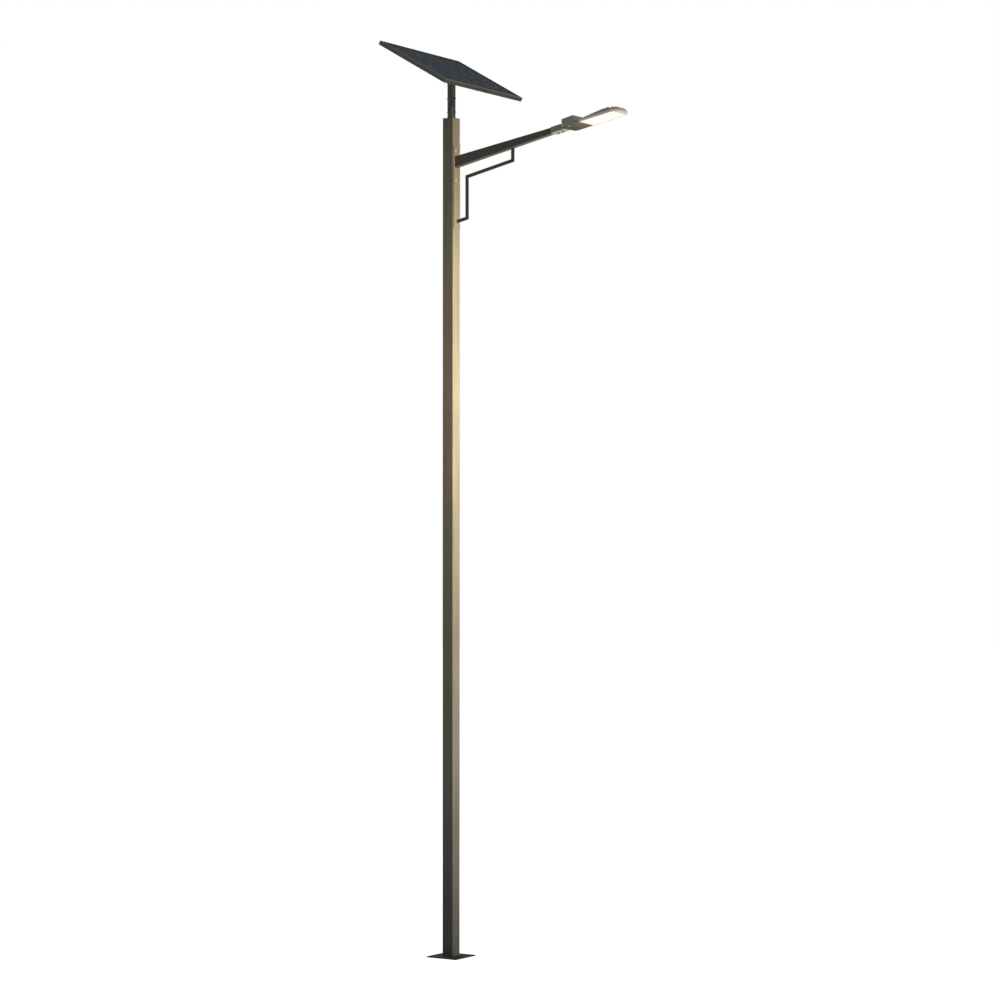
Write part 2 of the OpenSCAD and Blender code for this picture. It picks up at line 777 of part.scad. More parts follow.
module gear_housing() {
    boss_w = 7;
    wall_run = 12;
    color(lamp_grey) on_lamp() difference() {
        union() {
            difference() {
                intersection() {
                    side_extrude(2 * head_w) housing_side(0, rim);
                    translate([0, 0, -100]) linear_extrude(height = 200) housing_plan(0);
                }
                intersection() {
                    side_extrude(2 * head_w) housing_side(cast_wall, rim - eps);
                    translate([0, 0, -100]) linear_extrude(height = 200) housing_plan(cast_wall);
                }
            }
            // Lugs that hold the hinge pins, and the ledge that the latch hooks over
            for (u = hinge_u) hinge_block(u, boss_w);
            translate([latch_u - 14, -head_w / 2 + cast_wall - 0.5, rim + 1.5]) cube([28, 7, 2]);
        }
        translate([housing_start - eps, 0, 0]) rotate([0, 90, 0]) cylinder(r = 12, h = wall_run);
        at_flange_screws() translate([0, 0, -20]) cylinder(r = 3.1, h = 20);
        translate([housing_start - eps, 0, 0]) at_vent() cylinder(r = 5.1, h = wall_run);
        for (u = hinge_u) translate([u - boss_w, hinge_y, hinge_w]) rotate([0, 90, 0])
            cylinder(r = hinge_hole_r, h = 2 * boss_w);
        at_sink_screws() translate([0, 0, -cast_wall - eps]) cylinder(r = 2.6, h = cast_wall + 2 * eps);
    }
}

module hinge_block(u, block_w) {
    translate([u - block_w / 2, hinge_y - 5, rim]) cube([block_w, 10, 8]);
}

module at_vent() {
    translate([0, -66, 0]) rotate([0, 90, 0]) children();
}

// Breather that lets the housing equalise without taking in water
module pressure_vent() {
    color(black_plastic) on_lamp() translate([housing_start, 0, 0]) {
        at_vent() translate([0, 0, -1]) cylinder(r = 5, h = cast_wall + 3);
        at_vent() translate([0, 0, -4.1]) cylinder(r = 7.5, h = 4, $fn = 8);
    }
}

module lead_grommet() {
    color(black_rubber) on_lamp() translate([housing_start - 4, 0, 0]) rotate([0, 90, 0]) tube(11.9, 5.2, 9);
}

cell_r = 16.2;
cell_len = 70;
cell_count = 4;
cell_step = 34;
battery_w = 11;

module at_cells() {
    for (k = [0 : cell_count - 1])
        translate([box_start + 14, (k - (cell_count - 1) / 2) * cell_step - 8, battery_w])
            rotate([0, 90, 0]) children();
}

module battery_cells() {
    color("#2f6f9f") on_lamp() at_cells() cylinder(r = cell_r, h = cell_len);
}

// Moulded end plates and a tie strip that keep the four cells in a row
module battery_holder() {
    plate = 5;
    span = cell_count * cell_step + 6;
    color(black_plastic) on_lamp() difference() {
        union() {
            for (u = [box_start + 10, box_start + 14 + cell_len - 1])
                translate([u, -span / 2 - 8, battery_w - cell_r - 2]) cube([plate, span, 2 * cell_r + 4]);
            translate([box_start + 10, -span / 2 - 8, battery_w - cell_r - 4])
                cube([cell_len + 8, span, 2.5]);
        }
        at_cells() cylinder(r = cell_r + 0.3, h = cell_len);
    }
}

// Potted controller that charges the battery and drives the emitters
module charge_controller() {
    color("#8d9297") on_lamp() translate([housing_end - 40, -70, rim + 3]) difference() {
        cube([28, 116, 11]);
        for (k = [1 : 7]) translate([-eps, k * 14.5 - 2, 9]) cube([28 + 2 * eps, 4, 3]);
    }
}

module terminal_block() {
    ways = 4;
    color(black_plastic) on_lamp() translate([housing_end - 30, 50, rim + 3]) difference() {
        cube([14, 6 * ways, 10]);
        for (k = [0 : ways - 1]) translate([7, 3 + 6 * k, 4]) cylinder(r = 1.9, h = 10);
    }
}

// ---------------------------------------------------------------- light engine

// Plan of the heat sink and bezel: straight sides, nose with cut corners
module sink_plan(inset) {
    half = head_w / 2 - inset;
    front = head_front - inset;
    corner = [[front - nose_cut[0], half], [front - nose_cut[1], half - nose_cut[0]],
        [front, half - nose_flat]];
    polygon(concat([[sink_start, -half]], [for (p = corner) [p[0], -p[1]]],
        [for (i = [2 : -1 : 0]) corner[i]], [[sink_start, half]]));
}

// Height of the fin tips above the arm's line: rising at first, then level
function fin_top(u) = min(fin_crest, mix_at(u, 300, 470, -1.5, fin_crest));

// Solid under the fin line between two distances, drawn out to a width
module fin_profile(u0, u1, drop, w) {
    steps = 12;
    side_extrude(w) polygon(concat([[u0, sink_low]],
        [for (i = [0 : steps]) let (u = u0 + (u1 - u0) * i / steps) [u, fin_top(u) - drop]],
        [[u1, sink_low]]));
}

module heat_sink() {
    cavity_w = window_w - 16;
    nose_start = head_front - nose_len;
    color(lamp_grey) on_lamp() difference() {
        intersection() {
            translate([0, 0, -100]) linear_extrude(height = 200) sink_plan(0);
            union() {
                translate([sink_start, -head_w, sink_low])
                    cube([head_front, 2 * head_w, sink_base_top - sink_low]);
                // Side cheeks just under the fin tips, the fins, and the solid nose
                for (s = [-1, 1]) translate([0, s * (head_w / 2 - 2), 0])
                    fin_profile(sink_start + 4, nose_start + 2, 3, 4);
                for (u = [sink_start + 18 : fin_pitch : nose_start - 10])
                    fin_profile(u, u + fin_t, 0, 2 * head_w);
                fin_profile(nose_start, head_front, 0, 2 * head_w);
            }
        }
        nose_front_cut();
        for (s = [0, 1]) mirror([0, s, 0]) nose_corner_cut();
        translate([window_start + 12, -cavity_w / 2, sink_low - eps])
            cube([window_len - 24, cavity_w, cavity_top - sink_low + eps]);
        at_sink_screws() translate([0, 0, -eps]) cylinder(r = 2.6, h = 14);
    }
}

// Slope from the nose's crest down to its front edge
module nose_front_cut() {
    crest_u = head_front - nose_len + 4;
    side_extrude(2 * head_w) polygon([[crest_u, fin_crest + 20], [crest_u, fin_crest], [head_front + 2, -14],
        [head_front + 2, fin_crest + 20]]);
}

// Leaning facet over one front corner
module nose_corner_cut() {
    turn = 37.5;
    lean = 62;
    translate([head_front - nose_len + 6, head_w / 2 - 45, fin_crest - 1])
        rotate([0, 0, turn]) rotate([0, lean, 0]) translate([-100, -100, 0]) cube([200, 200, 100]);
}

// Screws through the housing's front wall into the heat sink's back edge
module at_sink_screws() {
    for (sy = [-1, 1], y = [34, 80])
        translate([housing_end, sy * y, -13]) rotate([0, 90, 0]) children();
}

module heat_sink_screws() {
    color(steel_bright) on_lamp() at_sink_screws() translate([0, 0, -cast_wall]) rotate([180, 0, 0])
        cap_screw(5, 14, 3.5);
}

// Plate of the light engine, clear of the cavity's walls
module engine_plate(low, t) {
    translate([window_start + board_rim[0], -window_w / 2 + board_rim[1], low])
        cube([window_len - 2 * board_rim[0], window_w - 2 * board_rim[1], t]);
}

module led_board() {
    color("#e8e8e2") on_lamp() engine_plate(board_low, board_t);
}

module at_leds() {
    pitch_u = (window_len - 40) / led_rows;
    pitch_v = (window_w - 36) / led_cols;
    for (i = [0 : led_rows - 1], j = [0 : led_cols - 1])
        translate([window_start + window_len / 2 + (i - (led_rows - 1) / 2) * pitch_u,
            (j - (led_cols - 1) / 2) * pitch_v, board_low]) children();
}

module led_chips() {
    color("#f4d77a") on_lamp() at_leds() translate([-chip[0] / 2, -chip[1] / 2, -chip[2]]) cube(chip);
}

// One moulded plate with a dome over each emitter
module lens_array() {
    dome_r = 8;
    dome_sink = 3.6;
    lens_t = 1.2;
    lens_low = -18;
    color("#eef3f5", 0.7) on_lamp() difference() {
        intersection() {
            union() {
                engine_plate(lens_low, lens_t);
                at_leds() translate([0, 0, dome_sink]) sphere(dome_r, $fn = 32);
            }
            translate([window_start, -window_w / 2, sink_low - lens_t])
                cube([window_len, window_w, lens_low - sink_low + 2 * lens_t]);
        }
        at_leds() translate([0, 0, -3.2]) cylinder(r = 3.2, h = 4);
    }
}

module glass_gasket() {
    a = window_len + 4;
    b = window_w + 4;
    color(black_rubber) on_lamp() translate([window_start + window_len / 2, 0, -21.1])
        linear_extrude(height = 0.6) difference() {
            cut_rect(a, b, 8);
            cut_rect(a - 16, b - 16, 8);
        }
}

module lamp_glass() {
    color("#fff6df", 0.8) on_lamp() translate([window_start + window_len / 2, 0, -23.5])
        linear_extrude(height = 2.4) cut_rect(window_len + 4, window_w + 4, 8);
}

// Frame that clamps the glass under the heat sink
module lamp_bezel() {
    color(lamp_grey) on_lamp() difference() {
        translate([0, 0, bezel_low]) linear_extrude(height = sink_low - bezel_low) sink_plan(0);
        translate([window_start + window_len / 2, 0, bezel_low - eps])
            linear_extrude(height = 10) cut_rect(window_len - 2, window_w - 2, 8);
        translate([window_start + window_len / 2, 0, -23.6])
            linear_extrude(height = 10) cut_rect(window_len + 4.4, window_w + 4.4, 8);
    }
}

// ---------------------------------------------------------------- service cover and latch

module cover_hinge_pins() {
    color(steel_bright) on_lamp() for (u = hinge_u)
        translate([u - 14, hinge_y, hinge_w]) rotate([0, 90, 0]) cylinder(r = hinge_pin_r, h = 28);
}

module service_cover() {
    gap = 1;
    half = head_w / 2 - 1;
    cut = 13;
    knuckle = 8;
    // The hinge edge swings up past the rim, so its two corners stay clear of the end walls
    rear_cut = cut + 2 * cast_wall;
    front_cut = 2 * cast_wall;
    color("#4b483e") on_lamp() difference() {
        union() {
            translate([0, 0, cover_low]) linear_extrude(height = cover_top - cover_low)
                polygon([[housing_start + gap, -half + cut], [housing_start + gap + cut, -half],
                    [housing_end - gap, -half], [housing_end - gap, hinge_y - front_cut],
                    [housing_end - gap - front_cut, hinge_y], [housing_start + gap + rear_cut, hinge_y],
                    [housing_start + gap, hinge_y - rear_cut]]);
            // Two knuckles beside each lug, on the hinge pins
            for (u = hinge_u, s = [-1, 1])
                translate([u + s * 8.5 - knuckle / 2, hinge_y, hinge_w]) rotate([0, 90, 0])
                    cylinder(r = knuckle_r, h = knuckle);
        }
        for (u = hinge_u) {
            translate([u - 4.5, hinge_y - 6, rim - 8]) cube([9, 20, 12]);
            translate([u - 16, hinge_y, hinge_w]) rotate([0, 90, 0])
                cylinder(r = hinge_pin_r + pin_gap, h = 32);
        }
        translate([latch_u, latch_y, cover_low - eps]) cylinder(r = 3.05, h = 10);
        // Stiffening grooves on the outside face
        for (u = [170 : 24 : 242])
            translate([u, -head_w / 2 + 40, cover_low - eps]) cube([3, head_w - 80, eps + 0.6]);
    }
}

module cover_gasket() {
    a0 = housing_start + cast_wall + 16;
    a1 = housing_end - cast_wall - 2;
    b0 = -head_w / 2 + cast_wall + 1.5;
    b1 = hinge_y - 7;
    strip = 3;
    color(black_rubber) on_lamp() translate([0, 0, cover_top]) linear_extrude(height = 1.4) difference() {
        translate([a0, b0]) square([a1 - a0, b1 - b0]);
        translate([a0 + strip, b0 + strip]) square([a1 - a0 - 2 * strip, b1 - b0 - 2 * strip]);
    }
}

// Quarter-turn latch: slotted head outside, tongue inside that swings over the housing's ledge
module cover_latch() {
    head_h = 3.2;
    tongue_low = rim + 3.5 + face_gap;
    color(steel_bright) on_lamp() translate([latch_u, latch_y, 0]) {
        difference() {
            translate([0, 0, cover_low - head_h - 0.1]) cylinder(r = 6.5, h = head_h);
            translate([-8, -0.8, cover_low - head_h - 1]) cube([16, 1.6, 2.4]);
        }
        translate([0, 0, cover_low - 1]) cylinder(r = 3, h = tongue_low - cover_low + 2);
        translate([-4, -3.5, tongue_low]) cube([14, 7, 2.4]);
    }
}

// ---------------------------------------------------------------- nodes

base_plate();
pole_shaft();
pole_top_plate();
mast_spigot();
spigot_guide();
arm_plate();
arm_plate_bolts();
arm_plate_washers();
arm_rivet_nuts();
arm_beam();
arm_tip_plate();
arm_spigot();
arm_brace();
arm_cable();
cable_grommet();
mast_sleeve();
mast_set_bolts();
mast_head_plate();
mast_ears();
tilt_pivot_bolt();
tilt_pivot_nut();
frame_long_rails();
frame_short_rails();
frame_corner_keys();
panel_glass();
solar_cells();
cell_ribbons();
backsheet();
junction_box();
junction_box_lid();
bypass_diodes();
cross_rails();
rail_bolts();
rail_nuts();
tilt_saddle();
pivot_spacer();
tilt_lock_bolt();
tilt_lock_nut();
slip_fitter();
fitter_clamp_screws();
gear_housing();
fitter_flange_screws();
lead_grommet();
pressure_vent();
battery_cells();
battery_holder();
charge_controller();
terminal_block();
heat_sink();
heat_sink_screws();
led_board();
led_chips();
lens_array();
glass_gasket();
lamp_glass();
lamp_bezel();
cover_hinge_pins();
service_cover();
cover_gasket();
cover_latch();
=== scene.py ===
import json
import math

import bmesh
import bpy
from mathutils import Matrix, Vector

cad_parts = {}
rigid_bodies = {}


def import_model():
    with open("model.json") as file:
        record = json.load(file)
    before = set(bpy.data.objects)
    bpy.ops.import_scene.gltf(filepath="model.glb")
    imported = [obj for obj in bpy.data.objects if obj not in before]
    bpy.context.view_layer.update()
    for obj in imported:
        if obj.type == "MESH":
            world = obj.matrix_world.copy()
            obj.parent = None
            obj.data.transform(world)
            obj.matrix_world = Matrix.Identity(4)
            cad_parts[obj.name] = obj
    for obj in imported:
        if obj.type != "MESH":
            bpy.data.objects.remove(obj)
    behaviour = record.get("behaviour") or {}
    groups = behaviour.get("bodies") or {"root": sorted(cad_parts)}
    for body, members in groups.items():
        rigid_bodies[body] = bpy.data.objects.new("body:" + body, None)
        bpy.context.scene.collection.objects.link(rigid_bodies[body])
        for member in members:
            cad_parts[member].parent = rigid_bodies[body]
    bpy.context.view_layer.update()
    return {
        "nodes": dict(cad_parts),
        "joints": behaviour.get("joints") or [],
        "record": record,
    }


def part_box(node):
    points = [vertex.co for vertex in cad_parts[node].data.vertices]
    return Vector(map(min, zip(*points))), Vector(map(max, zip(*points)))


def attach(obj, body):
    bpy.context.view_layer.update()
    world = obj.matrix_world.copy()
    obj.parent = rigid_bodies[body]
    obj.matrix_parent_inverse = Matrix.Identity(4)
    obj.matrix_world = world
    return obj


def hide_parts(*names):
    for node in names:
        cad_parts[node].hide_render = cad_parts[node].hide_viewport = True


# Looks of the solar street lamp: finishes, softened castings, weld beads, studio and camera.
# Metres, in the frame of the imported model: +Z up the pole, +X along the arm, +Y along the panel.

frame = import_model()

# ---------------------------------------------------------------- directions and units

JOINTS = {joint["name"]: joint for joint in frame["joints"]}
LAMP_ALONG = Vector(JOINTS["lamp_roll"]["axis"])
LAMP_UP = Vector(JOINTS["latch_turn"]["axis"])
LAMP_ACROSS = LAMP_UP.cross(LAMP_ALONG)
ARM_PITCH = math.atan2(LAMP_ALONG.z, LAMP_ALONG.x)
PANEL_TILT = math.radians(30)

# Turns of a texture that bring its X along the panel's slope, or along the lamp head
PANEL_TURN = (0, -PANEL_TILT, 0)
LAMP_TURN = (0, ARM_PITCH, 0)

ALONG_X, ALONG_Z = 0, 2
MM = 0.001

# ---------------------------------------------------------------- camera, at the photo's angle

VIEW_TURN = math.radians(33.61)
VIEW_RISE = math.radians(1.041)
VIEW_PLACE = (11.103, -16.074, 2.906)
LENS = 98.19
SENSOR = 36
FAR_END = 200


def make_camera():
    camera = bpy.data.objects.new("camera", bpy.data.cameras.new("camera"))
    camera.data.sensor_width = SENSOR
    camera.data.lens = LENS
    camera.data.clip_end = FAR_END
    camera.location = VIEW_PLACE
    camera.rotation_euler = (math.pi / 2 + VIEW_RISE, 0, VIEW_TURN)
    bpy.context.scene.collection.objects.link(camera)
    bpy.context.scene.camera = camera


make_camera()

# ---------------------------------------------------------------- shader helpers


class Shader:
    """One procedural material: a Principled shader, and short ways to feed its sockets."""

    def __init__(self, name, color, rough, **sockets):
        self.material = bpy.data.materials.new(name)
        self.material.use_nodes = True
        self.tree = self.material.node_tree
        self.bsdf = self.tree.nodes["Principled BSDF"]
        self.bsdf.inputs["Base Color"].default_value = (*color, 1)
        self.bsdf.inputs["Roughness"].default_value = rough
        for socket, value in sockets.items():
            self.bsdf.inputs[socket.replace("_", " ")].default_value = value
        self.color = (*color, 1)
        self.rough = rough

    def node(self, kind, **settings):
        made = self.tree.nodes.new("ShaderNode" + kind)
        for name, value in settings.items():
            setattr(made, name, value)
        return made

    def link(self, source, target):
        self.tree.links.new(source, target)

    def feed(self, socket, value):
        """Sets a socket to a constant, or links an output to it."""
        if isinstance(value, bpy.types.NodeSocket):
            self.link(value, socket)
        else:
            socket.default_value = value

    def place(self, stretch=(1, 1, 1), turn=(0, 0, 0)):
        """Object coordinates, turned and then scaled, in metres before the scale."""
        coords = self.node("TexCoord")
        spin = self.node("Mapping")
        spin.inputs["Rotation"].default_value = turn
        self.link(coords.outputs["Object"], spin.inputs["Vector"])
        scale = self.node("VectorMath", operation="MULTIPLY")
        scale.inputs[1].default_value = stretch
        self.link(spin.outputs["Vector"], scale.inputs[0])
        return scale.outputs[0]

    def axis(self, place, name):
        split = self.node("SeparateXYZ")
        self.link(place, split.inputs[0])
        return split.outputs[name]

    def noise(self, place, scale, detail=3.0):
        texture = self.node("TexNoise")
        texture.inputs["Scale"].default_value = scale
        texture.inputs["Detail"].default_value = detail
        self.link(place, texture.inputs["Vector"])
        return texture.outputs["Fac"]

    def cells(self, place, scale, output="Color"):
        """Random cells: a colour for each one, or the distance from its middle."""
        texture = self.node("TexVoronoi")
        texture.inputs["Scale"].default_value = scale
        self.link(place, texture.inputs["Vector"])
        return texture.outputs[output]

    def math(self, operation, a, b=0.0):
        made = self.node("Math", operation=operation)
        self.feed(made.inputs[0], a)
        self.feed(made.inputs[1], b)
        return made.outputs[0]

    def between(self, value, low, high, to_low=0.0, to_high=1.0):
        """Maps a value's range to another one, held at both ends."""
        made = self.node("MapRange")
        self.feed(made.inputs["Value"], value)
        made.inputs["From Min"].default_value = low
        made.inputs["From Max"].default_value = high
        made.inputs["To Min"].default_value = to_low
        made.inputs["To Max"].default_value = to_high
        return made.outputs["Result"]

    def blend(self, share, a, b):
        """Colour a where share is 0 and colour b where it is 1."""
        made = self.node("Mix", data_type="RGBA")
        self.feed(made.inputs[0], share)
        self.feed(made.inputs[6], a)
        self.feed(made.inputs[7], b)
        return made.outputs[2]

    def edges(self, radius, spread=0.25):
        """1 close to sharp edges, 0 on flat faces."""
        bevel = self.node("Bevel", samples=4)
        bevel.inputs["Radius"].default_value = radius
        geometry = self.node("NewGeometry")
        dot = self.node("VectorMath", operation="DOT_PRODUCT")
        self.link(bevel.outputs["Normal"], dot.inputs[0])
        self.link(geometry.outputs["Normal"], dot.inputs[1])
        return self.between(dot.outputs["Value"], 1.0, 1.0 - spread)

    def bump(self, height, strength, depth):
        """Adds a bump on top of the bumps made before it."""
        made = self.node("Bump")
        made.inputs["Strength"].default_value = strength
        made.inputs["Distance"].default_value = depth
        self.link(height, made.inputs["Height"])
        last = self.bsdf.inputs["Normal"]
        if last.is_linked:
            self.link(last.links[0].from_socket, made.inputs["Normal"])
        self.link(made.outputs["Normal"], last)

    def paint(self, color):
        self.link(color, self.bsdf.inputs["Base Color"])

    def roughen(self, value, swing):
        """Roughness that swings about its middle value with a 0 to 1 pattern."""
        swung = self.between(value, 0.25, 0.75, self.rough - swing, self.rough + swing)
        self.link(swung, self.bsdf.inputs["Roughness"])


def scaled(color, factor):
    return (*(c * factor for c in color[:3]), 1)


# ---------------------------------------------------------------- finishes

BRONZE = (0.062, 0.057, 0.046)
LAMP_GREY = (0.21, 0.207, 0.19)
BARE_METAL = (0.30, 0.29, 0.27, 1)
DARKER_FOOT_COLOR = (0.014, 0.014, 0.0135, 1)
DARKER_FOOT_HEIGHT = 1.5
DARKER_FOOT_SHARE = 0.80
DOWN_THE_FACES = (38, 38, 1.3)

# The grid of emitters on the board, as the CAD has it
LED_ROWS = 8
LED_COLUMNS = 5
LED_SIZE = 3.5 * MM


def powder_coat(name, color, rough, streak=0.16, wear=0.5, darker_foot=False, painted_light_and_shade=None):
    """Baked paint with fine orange peel, rain streaks and worn edges, darker towards the ground if asked, and
    painted light and shade if asked.
    """
    shader = Shader(name, color, rough, Specular_IOR_Level=0.35)
    place = shader.place()
    cloud = shader.noise(place, scale=1.7, detail=4)
    streaks = shader.noise(shader.place(DOWN_THE_FACES), scale=1.0, detail=5)
    tone = shader.math("ADD", shader.math("MULTIPLY", cloud, 0.5), shader.math("MULTIPLY", streaks, 0.5))
    darker = scaled(color, 1 - streak)
    lighter = scaled(color, 1 + streak)
    shade = shader.blend(shader.between(tone, 0.35, 0.65), darker, lighter)
    # Painted light and shade, where a finish asks for it
    if painted_light_and_shade:
        shade = painted_light_and_shade(shader, shade)
    if darker_foot:
        # Darker towards the ground, in patches
        rising = shader.between(shader.axis(place, "Z"), 0.0, DARKER_FOOT_HEIGHT, DARKER_FOOT_SHARE, 0.0)
        patchy = shader.between(shader.noise(place, scale=9, detail=5), 0.3, 0.7, 0.75, 1.0)
        shade = shader.blend(shader.math("MULTIPLY", rising, patchy), shade, DARKER_FOOT_COLOR)
    chipped = shader.between(shader.noise(place, scale=55, detail=5), 0.48, 0.62)
    worn = shader.math("MULTIPLY", shader.edges(radius=1.6 * MM), chipped)
    shader.paint(shader.blend(shader.math("MULTIPLY", worn, wear), shade, BARE_METAL))
    shader.roughen(streaks, swing=0.07)
    shader.bump(shader.noise(place, scale=620, detail=2), strength=0.10, depth=0.10 * MM)
    shader.bump(shader.noise(place, scale=60, detail=2), strength=0.08, depth=0.20 * MM)
    return shader.material


def reach(node, direction):
    """Least and greatest distance of a node's points along a direction."""
    places = [vertex.co.dot(direction) for vertex in frame["nodes"][node].data.vertices]
    return min(places), max(places)


def painted_lamp_light_and_glow(shader, shade):
    """Painted lamp light: the paint is lightened to a warm grey low down and on the nose, and a painted glow
    shines just above the rim.
    """
    painted_light_color = (0.37, 0.34, 0.33, 1)
    most_painted_light, nose_painted_light = 0.9, 0.8
    painted_light_height = 30 * MM
    painted_light_starts, painted_light_full = 60 * MM, 25 * MM
    glow_color = (1.0, 0.80, 0.64, 1)
    glow_height = 18 * MM
    most_glow = 0.28
    rim_lip = 1.5 * MM

    place = shader.place(turn=LAMP_TURN)
    rim = reach("lamp_bezel", LAMP_UP)[0]
    nose = reach("heat_sink", LAMP_ALONG)[1]
    low = shader.between(shader.axis(place, "Z"), rim, rim + painted_light_height, 1.0, 0.0)
    front = shader.between(shader.axis(place, "X"), nose - painted_light_starts, nose - painted_light_full, 0.0, nose_painted_light)
    share = shader.math("MAXIMUM", low, front)
    # Painted glow: the paint gives off warm light just above the rim, though it is no lamp
    shader.bsdf.inputs["Emission Color"].default_value = glow_color
    height = shader.axis(place, "Z")
    above_rim = shader.math("GREATER_THAN", height, rim + rim_lip)
    glow = shader.between(height, rim, rim + glow_height, most_glow, 0.0)
    shader.link(shader.math("MULTIPLY", glow, above_rim), shader.bsdf.inputs["Emission Strength"])
    return shader.blend(shader.math("MULTIPLY", share, most_painted_light), shade, painted_light_color)


def painted_window_light_and_shade(shader, shade):
    """Painted light from the window: the paint is lightened near the window's end and darkened into painted
    shade towards the arm.
    """
    painted_shade_by_arm = (0.42, 0.40, 0.34, 1)
    painted_light_by_window = (2.1, 2.0, 1.75, 1)
    darkest_painted_shade_strip = 20 * MM

    place = shader.place(turn=LAMP_TURN)
    rear, front = reach("service_cover", LAMP_ALONG)
    share = shader.between(shader.axis(place, "X"), rear + darkest_painted_shade_strip, front)
    tone = shader.blend(share, painted_shade_by_arm, painted_light_by_window)
    made = shader.node("Mix", data_type="RGBA", blend_type="MULTIPLY")
    made.inputs[0].default_value = 1.0
    shader.link(shade, made.inputs[6])
    shader.link(tone, made.inputs[7])
    return made.outputs[2]


def anodised(name, color, grain):
    """Extruded and anodised aluminium: die lines along the rail, edges worn light, and a painted highlight
    along the upper rim.
    """
    worn_and_highlight_color = (0.16, 0.155, 0.14, 1)
    rim_starts, rim_full = 6 * MM, 4 * MM
    rim_highlight, edge_wear = 0.7, 0.55

    shader = Shader(name, color, rough=0.42, Metallic=0.55, Specular_IOR_Level=0.4)
    lines = shader.noise(shader.place(grain, PANEL_TURN), scale=1.0, detail=4)
    cloud = shader.noise(shader.place(), scale=3.0, detail=3)
    shade = shader.blend(shader.between(lines, 0.3, 0.7), scaled(color, 0.86), scaled(color, 1.16))
    shade = shader.blend(shader.between(cloud, 0.4, 0.7, 0.0, 0.25), shade, scaled(color, 1.5))
    panel_up = Vector((math.sin(PANEL_TILT), 0, math.cos(PANEL_TILT)))
    top = reach("frame_long_rails", panel_up)[1]
    height = shader.axis(shader.place(turn=PANEL_TURN), "Z")
    # Painted highlight: a light band along the upper rim of the rails
    rim = shader.between(height, top - rim_starts, top - rim_full, 0.0, rim_highlight)
    # Light where the rim's painted highlight or the worn edges are, whichever is more
    worn = shader.math("MAXIMUM", rim, shader.math("MULTIPLY", shader.edges(radius=0.8 * MM), edge_wear))
    shader.paint(shader.blend(worn, shade, worn_and_highlight_color))
    shader.roughen(lines, swing=0.06)
    shader.bump(lines, strength=0.12, depth=0.05 * MM)
    return shader.material


def galvanised():
    """Hot-dip zinc with a fine spangle and a cloudy bloom."""
    shader = Shader("zinc", (0.46, 0.47, 0.48), rough=0.46, Metallic=1.0)
    place = shader.place()
    spangle = shader.node("RGBToBW")
    shader.link(shader.cells(place, scale=110), spangle.inputs[0])
    bloom = shader.between(shader.noise(place, scale=14, detail=5), 0.40, 0.75, 0.0, 0.45)
    shade = shader.blend(spangle.outputs[0], (0.42, 0.43, 0.44, 1), (0.50, 0.51, 0.52, 1))
    shader.paint(shader.blend(bloom, shade, (0.53, 0.53, 0.52, 1)))
    shader.roughen(spangle.outputs[0], swing=0.04)
    shader.bump(shader.noise(place, scale=300, detail=3), strength=0.08, depth=0.04 * MM)
    return shader.material


def stainless():
    """Drawn stainless steel with a few stains."""
    shader = Shader("stainless", (0.60, 0.59, 0.57), rough=0.27, Metallic=1.0)
    place = shader.place()
    marks = shader.noise(shader.place((900, 900, 60)), scale=1.0, detail=3)
    stain = shader.between(shader.noise(place, scale=90, detail=5), 0.5, 0.75, 0.0, 0.4)
    shade = shader.blend(shader.between(marks, 0.3, 0.7), (0.54, 0.53, 0.51, 1), (0.68, 0.67, 0.65, 1))
    shader.paint(shader.blend(stain, shade, (0.38, 0.35, 0.31, 1)))
    shader.roughen(marks, swing=0.07)
    shader.bump(marks, strength=0.15, depth=0.04 * MM)
    return shader.material


def bright_zinc(name, color):
    """Pale passivated zinc, with a bloom."""
    shader = Shader(name, color, rough=0.45, Metallic=0.15)
    place = shader.place()
    bloom = shader.between(shader.noise(place, scale=160, detail=4), 0.35, 0.7)
    shader.paint(shader.blend(bloom, scaled(color, 0.8), scaled(color, 1.2)))
    shader.roughen(bloom, swing=0.08)
    shader.bump(bloom, strength=0.1, depth=0.05 * MM)
    return shader.material


def moulded(name, color, rough, grain_scale, **sockets):
    """Plastic or rubber with a fine pebbled mould texture and a little chalking."""
    shader = Shader(name, color, rough, **sockets)
    place = shader.place()
    chalk = shader.between(shader.noise(place, scale=35, detail=4), 0.45, 0.75, 0.0, 0.35)
    shader.paint(shader.blend(chalk, shader.color, scaled(color, 1.8)))
    shader.roughen(shader.noise(place, scale=120, detail=3), swing=0.08)
    shader.bump(shader.cells(place, grain_scale, "Distance"), strength=0.25, depth=0.06 * MM)
    return shader.material


def silicon_cell():
    """Mono silicon under a blue anti-reflective film, with print fingers and a faint cloud."""
    finger_pitch = 2.2 * MM
    finger_core, finger_edge = 0.07 * MM, 0.20 * MM
    finger_share = 0.16

    shader = Shader("cell", (0.030, 0.040, 0.058), rough=0.42, Specular_IOR_Level=0.015)
    place = shader.place(turn=PANEL_TURN)
    wave = shader.math("PINGPONG", shader.axis(place, "X"), finger_pitch / 2)
    finger = shader.between(wave, finger_core, finger_edge, 1.0, 0.0)
    cloud = shader.between(shader.noise(place, scale=9, detail=4), 0.3, 0.7)
    wafer = shader.blend(cloud, (0.020, 0.028, 0.038, 1), (0.026, 0.036, 0.048, 1))
    shader.paint(shader.blend(shader.math("MULTIPLY", finger, finger_share), wafer, (0.09, 0.10, 0.11, 1)))
    shader.roughen(cloud, swing=0.05)
    shader.bump(cloud, strength=0.05, depth=0.05 * MM)
    return shader.material


